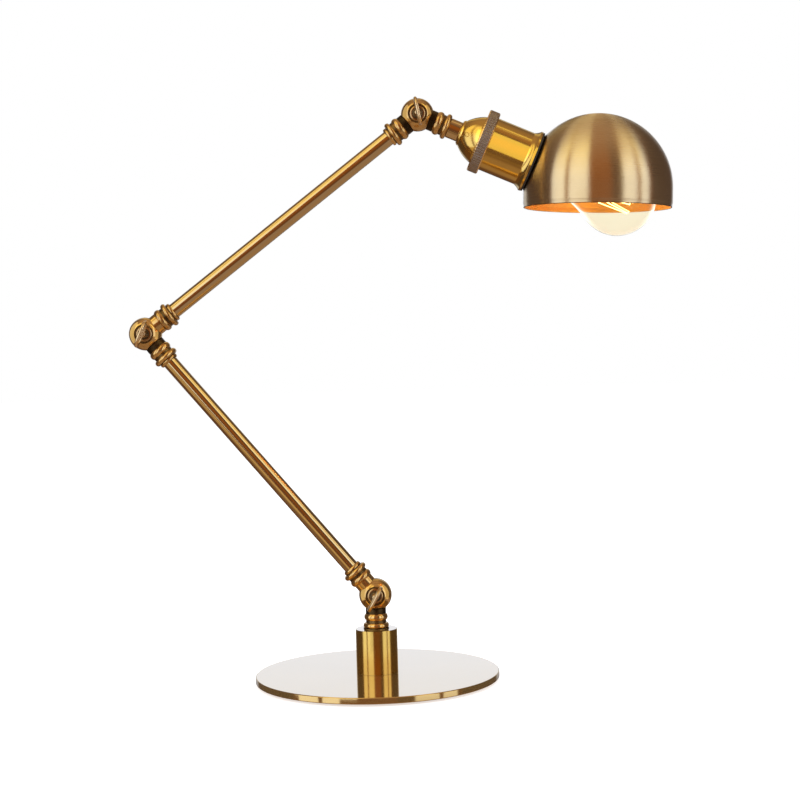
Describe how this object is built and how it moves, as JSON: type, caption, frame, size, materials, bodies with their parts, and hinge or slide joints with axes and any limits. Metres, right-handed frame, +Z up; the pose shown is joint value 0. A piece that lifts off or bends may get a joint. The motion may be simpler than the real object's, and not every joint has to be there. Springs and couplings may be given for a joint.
{
  "type": "desk lamp",
  "caption": "Desk lamp with a round base, two tubular arms on clamped ball knuckles and a dome shade with a bulb.",
  "frame": {"origin": "centre of the base's underside, on the table", "axes": "+Z up, +X from the base towards the shade, -Y towards the side with the thumbscrews"},
  "size_m": [0.3967, 0.178, 0.4229],
  "materials": {
    "plate_brass": "polished, plated",
    "pad_foam": "soft, matt",
    "stem_brass": "fine brushed round the stem",
    "steel": "zinc plated",
    "black_rubber": "matt",
    "cast_brass": "aged, darker in the grooves",
    "screw_brass": "aged",
    "tube_brass": "drawn, lightly brushed",
    "fibre": "pressed fibre",
    "lead_cover": "sheathed",
    "holder_brass": "satin, warm gold",
    "ring_metal": "knurled, oxidised grey-brown",
    "core_plastic": "moulded, black",
    "contact_brass": "bright",
    "nut_metal": "aged",
    "shade_brass": "satin, spun, with rings round the dome",
    "clear_glass": "clear",
    "cap_metal": "thin rolled sheet",
    "filament": "fine wire"
  },
  "bodies": {
    "base": {"base_plate": "plate_brass", "base_pad": "pad_foam", "base_stem": "stem_brass", "stem_foot": "steel", "base_bolt": "steel", "base_washer": "steel", "cable_bush": "black_rubber", "stem_nipple": "steel", "stem_nut": "steel", "stem_collar": "cast_brass", "base_knuckle": "cast_brass", "base_friction_washer": "fibre", "base_lead": "lead_cover"},
    "lower_arm": {"lower_knuckle": "cast_brass", "base_face_washer": "cast_brass", "lower_tube": "tube_brass", "lower_ferrules": "cast_brass", "elbow_knuckle": "cast_brass", "elbow_friction_washer": "fibre", "lower_lead": "lead_cover"},
    "upper_arm": {"upper_knuckle": "cast_brass", "elbow_face_washer": "cast_brass", "upper_tube": "tube_brass", "upper_ferrules": "cast_brass", "head_knuckle": "cast_brass", "head_friction_washer": "fibre", "upper_lead": "lead_cover"},
    "head": {"holder_knuckle": "cast_brass", "head_face_washer": "cast_brass", "holder_coupler": "tube_brass", "holder_nipple": "steel", "holder_nut": "steel", "holder_cap": "holder_brass", "knurled_ring": "ring_metal", "holder_sleeve": "holder_brass", "holder_gasket": "black_rubber", "holder_core": "core_plastic", "screw_shell": "contact_brass", "centre_contact": "contact_brass", "terminal_screws": "contact_brass", "shade_nut": "nut_metal", "dome_shade": "shade_brass", "head_lead": "lead_cover"},
    "bulb": {"bulb_glass": "clear_glass", "bulb_cap": "cap_metal", "bulb_insulator": "core_plastic", "bulb_tip": "contact_brass", "bulb_mount": "clear_glass", "bulb_supports": "steel", "bulb_filament": "filament"},
    "base_screw": {"base_thumbscrew": "screw_brass"},
    "elbow_screw": {"elbow_thumbscrew": "screw_brass"},
    "head_screw": {"head_thumbscrew": "screw_brass"}
  },
  "joints": [
    {"name": "base_tilt", "type": "hinge", "parent": "base", "child": "lower_arm", "pos_m": [0, 0, 0.0634], "axis": [0, -1, 0], "range_deg": [-60, 30]},
    {"name": "elbow_tilt", "type": "hinge", "parent": "lower_arm", "child": "upper_arm", "pos_m": [-0.16157, 0, 0.25809], "axis": [0, -1, 0], "range_deg": [-11, 105]},
    {"name": "head_tilt", "type": "hinge", "parent": "upper_arm", "child": "head", "pos_m": [0.04008, 0, 0.41087], "axis": [0, -1, 0], "range_deg": [-42, 95]},
    {"name": "bulb_turn", "type": "hinge", "parent": "head", "child": "bulb", "pos_m": [0.13163, 0, 0.37065], "axis": [0.9155, 0, -0.4023], "range_deg": [0, 720]},
    {"name": "base_screw_turn", "type": "hinge", "parent": "base", "child": "base_screw", "pos_m": [0, 0, 0.0634], "axis": [0, -1, 0], "range_deg": [0, 360]},
    {"name": "elbow_screw_turn", "type": "hinge", "parent": "lower_arm", "child": "elbow_screw", "pos_m": [-0.16157, 0, 0.25809], "axis": [0, -1, 0], "range_deg": [0, 360]},
    {"name": "head_screw_turn", "type": "hinge", "parent": "upper_arm", "child": "head_screw", "pos_m": [0.04008, 0, 0.41087], "axis": [0, -1, 0], "range_deg": [0, 360]}
  ]
}
